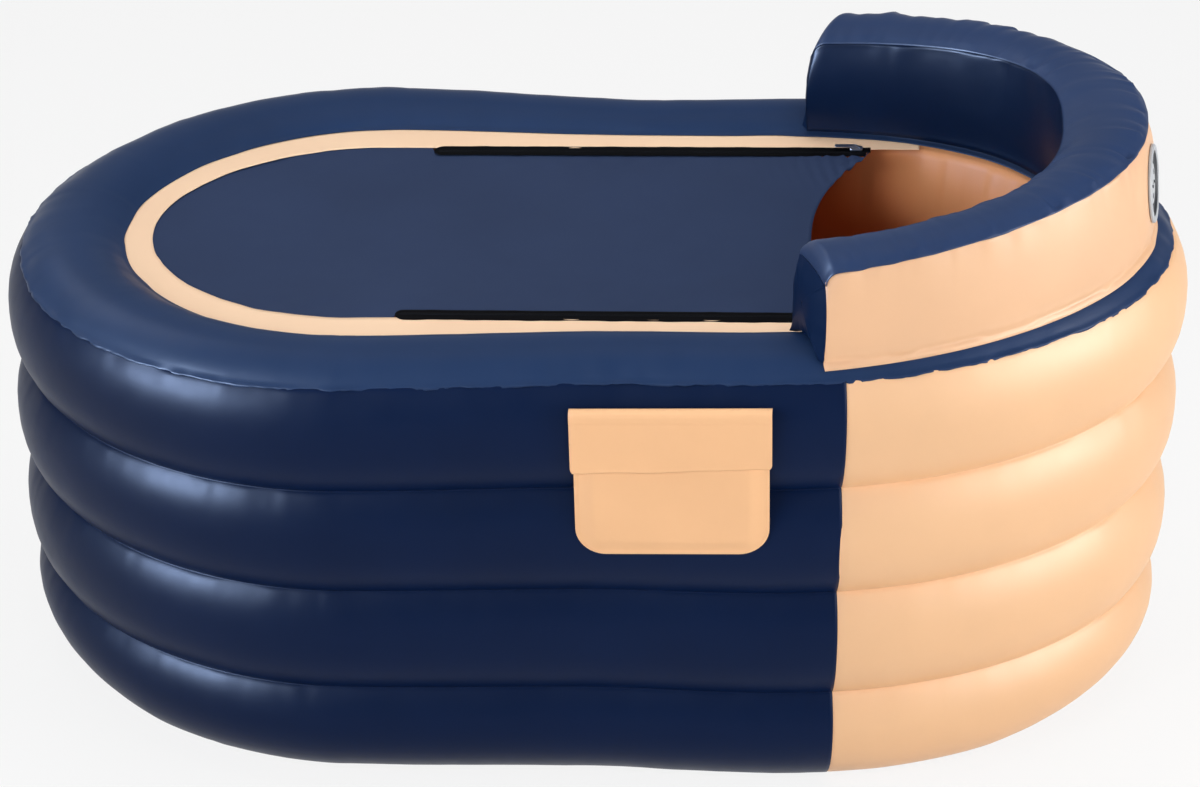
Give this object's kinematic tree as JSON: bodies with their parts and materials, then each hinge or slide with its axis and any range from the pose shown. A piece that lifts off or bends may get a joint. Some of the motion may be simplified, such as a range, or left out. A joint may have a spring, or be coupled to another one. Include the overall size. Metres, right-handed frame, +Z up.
{
  "type": "inflatable bathtub",
  "caption": "Long oval inflatable bathtub with ringed walls, a raised curved backrest, a zipped cover with a head opening, a side pocket and a built-in air pump.",
  "frame": {"origin": "centre of the bounding box on the floor plane", "axes": "+X from the foot end to the head end, +Y to the side without the pocket, +Z up"},
  "size_m": [1.6, 0.8424, 0.8675],
  "materials": {
    "navy_film": "smooth navy vinyl film",
    "peach_film": "satin apricot vinyl film",
    "cover_film": "matt navy coated cover sheet",
    "zip_tape": "black coated zip tape",
    "bright_metal": "bright plated metal",
    "grey_plastic": "light grey moulded plastic",
    "dark_plastic": "dark grey moulded plastic",
    "motor_can": "plain steel can",
    "battery_wrap": "heat-shrink wrap",
    "board": "green circuit board",
    "soft_rubber": "thin black rubber"
  },
  "bodies": {
    "tub": {"outer_wall_front": "navy_film", "outer_wall_rear": "peach_film", "inner_wall": "peach_film", "base_sheet": "peach_film", "top_panel": "navy_film", "wall_web_1": "peach_film", "wall_web_2": "peach_film", "wall_web_3": "peach_film", "backrest_base": "navy_film", "backrest_outer": "peach_film", "backrest_top": "navy_film", "backrest_inner": "navy_film", "backrest_end_near": "navy_film", "backrest_end_far": "navy_film", "cover_border": "peach_film", "cover_foot_panel": "cover_film", "zip_border_tape_near": "zip_tape", "zip_border_tape_far": "zip_tape", "pocket_pouch": "peach_film", "pump_bezel": "grey_plastic", "pump_dish": "dark_plastic", "pump_case": "dark_plastic", "pump_motor_mount": "dark_plastic", "pump_motor": "motor_can", "pump_battery": "battery_wrap", "pump_circuit_board": "board", "drain_sleeve": "peach_film"},
    "cover": {"cover_flap": "cover_film", "zip_flap_tape_near": "zip_tape", "zip_flap_tape_far": "zip_tape"},
    "slider_near": {"zip_slider_near": "bright_metal"},
    "slider_far": {"zip_slider_far": "bright_metal"},
    "pull_near": {"zip_pull_near": "bright_metal"},
    "pull_far": {"zip_pull_far": "bright_metal"},
    "flap_of_pocket": {"pocket_flap": "peach_film"},
    "selector": {"pump_knob": "grey_plastic"},
    "impeller": {"pump_impeller": "grey_plastic"},
    "check_flap": {"pump_check_flap": "soft_rubber"},
    "plug": {"drain_plug": "navy_film"},
    "cap": {"drain_cap": "navy_film"}
  },
  "joints": [
    {"name": "cover_fold", "type": "hinge", "parent": "tub", "child": "cover", "pos_m": [-0.24599, 0, 0.63662], "axis": [0, -1, 0], "range_deg": [0, 160]},
    {"name": "zip_near_slide", "type": "slide", "parent": "tub", "child": "slider_near", "axis": [-0.9992, 0, -0.0391], "range_m": [0, 0.575]},
    {"name": "zip_far_slide", "type": "slide", "parent": "tub", "child": "slider_far", "axis": [-0.9992, 0, -0.0391], "range_m": [0, 0.575]},
    {"name": "pull_near_turn", "type": "hinge", "parent": "slider_near", "child": "pull_near", "pos_m": [0.35177, -0.2251, 0.66853], "axis": [0, 1, 0], "range_deg": [0, 150]},
    {"name": "pull_far_turn", "type": "hinge", "parent": "slider_far", "child": "pull_far", "pos_m": [0.35177, 0.2251, 0.66853], "axis": [0, 1, 0], "range_deg": [0, 150]},
    {"name": "pocket_flap_turn", "type": "hinge", "parent": "tub", "child": "flap_of_pocket", "pos_m": [0.13114, -0.40194, 0.62694], "axis": [-0.9992, 0, -0.0391], "range_deg": [0, 120]},
    {"name": "selector_turn", "type": "hinge", "parent": "tub", "child": "selector", "pos_m": [0.73896, -0.03875, 0.77521], "axis": [0.9819, -0.1306, 0.1374], "range_deg": [-60, 60]},
    {"name": "impeller_spin", "type": "hinge", "parent": "tub", "child": "impeller", "pos_m": [0.73896, -0.03875, 0.77521], "axis": [0.9819, -0.1306, 0.1374], "continuous": true},
    {"name": "check_flap_turn", "type": "hinge", "parent": "tub", "child": "check_flap", "pos_m": [0.66961, -0.02953, 0.77813], "axis": [0.1318, 0.9913, 0], "range_deg": [0, 60]},
    {"name": "plug_pull", "type": "slide", "parent": "tub", "child": "plug", "axis": [-0.0572, -0.9984, 0], "range_m": [0, 0.05]},
    {"name": "cap_pull", "type": "slide", "parent": "tub", "child": "cap", "axis": [0.0572, 0.9984, 0], "range_m": [0, 0.03]}
  ]
}
